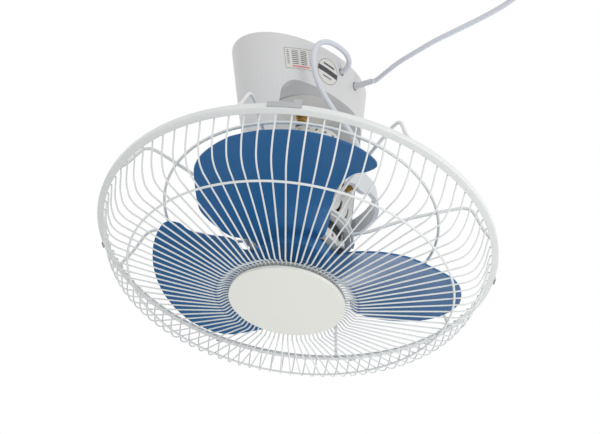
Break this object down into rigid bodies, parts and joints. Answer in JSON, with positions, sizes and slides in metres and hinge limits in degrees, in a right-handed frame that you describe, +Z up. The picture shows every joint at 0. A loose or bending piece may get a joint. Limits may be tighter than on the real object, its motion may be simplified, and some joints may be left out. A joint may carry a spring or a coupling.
{
  "type": "orbital ceiling fan",
  "caption": "Ceiling fan whose caged three-blade head hangs from a canopy on a gimbal ring and orbits by a geared crank.",
  "frame": {"origin": "centre of the canopy's top face, in the plane of the ceiling", "axes": "+Z up out of the ceiling face, X to the right and Y away as seen from the picture's camera; the fan hangs below"},
  "size_m": [0.529, 0.4386, 0.3605],
  "materials": {
    "shell_white": "satin",
    "cover_white": "satin",
    "wire_white": "gloss powder coat",
    "ring_paint": "satin paint",
    "label": "printed film left bare",
    "steel": "machined",
    "brass": "turned",
    "lamination": "varnished lamination stack",
    "copper": "enamelled wire",
    "blade_blue": "gloss",
    "cord_grey": "matt sheath",
    "grey_plastic": "matt",
    "nut_dark": "matt"
  },
  "bodies": {
    "canopy_and_mains": {"canopy": "shell_white", "ceiling_plate": "steel", "canopy_screw": "steel", "orbit_drum": "cover_white", "drum_screws": "steel", "orbit_stud": "brass", "stud_nut": "brass", "leg_bushes": "brass", "nameplate": "label", "round_label": "label", "motor_cord_grommet": "grey_plastic", "mains_strain_relief": "cord_grey", "terminal_block": "grey_plastic", "capacitor": "cover_white", "cord_clamp": "grey_plastic", "mains_cord": "cord_grey", "ceiling_outlet": "shell_white", "outlet_gland": "grey_plastic", "motor_cord_loop": "cord_grey"},
    "gimbal": {"gimbal_ring": "ring_paint", "leg_pivot_pins": "steel", "ring_pivots": "brass", "pivot_nuts": "brass", "ring_cord_clip": "grey_plastic"},
    "motor_and_guard": {"motor_cord_tail": "cord_grey", "motor_gland": "grey_plastic", "front_cover": "cover_white", "stator_core": "lamination", "windings": "copper", "rear_cover": "cover_white", "through_screws": "steel", "shaft_bearings": "steel", "gear_case": "cover_white", "gear_plate": "steel", "gear_cover": "cover_white", "crank_bush": "brass", "rear_ribs": "wire_white", "rear_ring": "wire_white", "motor_ring": "wire_white", "front_spokes": "wire_white", "front_ring": "wire_white", "badge_ring": "wire_white", "front_rim_wire": "wire_white", "rear_rim_wire": "wire_white", "rim_band": "wire_white", "rim_clips": "wire_white", "badge": "label", "badge_screws": "steel"},
    "rotor": {"shaft": "steel", "motor_rotor": "lamination", "blade_insert": "steel", "blades": "blade_blue", "spinner_nut": "nut_dark"},
    "lay_gear": {"layshaft": "steel"},
    "crank": {"crank_shaft": "steel", "crank_arm": "steel", "crank_cup": "brass"}
  },
  "joints": [
    {"name": "ring_swing", "type": "hinge", "parent": "canopy_and_mains", "child": "gimbal", "pos_m": [0, 0, -0.19], "axis": [0.6691, 0.7431, 0], "range_deg": [-12, 21.5], "deforming": ["motor_cord_loop"]},
    {"name": "head_swing", "type": "hinge", "parent": "gimbal", "child": "motor_and_guard", "pos_m": [0, 0, -0.19], "axis": [-0.7405, 0.6667, -0.0847], "range_deg": [-33, 0.8], "deforming": ["motor_cord_tail"]},
    {"name": "blade_spin", "type": "hinge", "parent": "motor_and_guard", "child": "rotor", "pos_m": [0, 0, -0.19], "axis": [0.1259, 0.2614, 0.957], "continuous": true},
    {"name": "layshaft_turn", "type": "hinge", "parent": "motor_and_guard", "child": "lay_gear", "pos_m": [-0.01629, 0.01467, -0.19186], "axis": [0.1259, 0.2614, 0.957], "continuous": true},
    {"name": "crank_turn", "type": "hinge", "parent": "motor_and_guard", "child": "crank", "pos_m": [0, 0, -0.19], "axis": [0.1259, 0.2614, 0.957], "continuous": true}
  ],
  "couplings": [
    {"joint": "layshaft_turn", "follows": "blade_spin", "ratio": -0.11111},
    {"joint": "crank_turn", "follows": "blade_spin", "ratio": 0.012346}
  ]
}
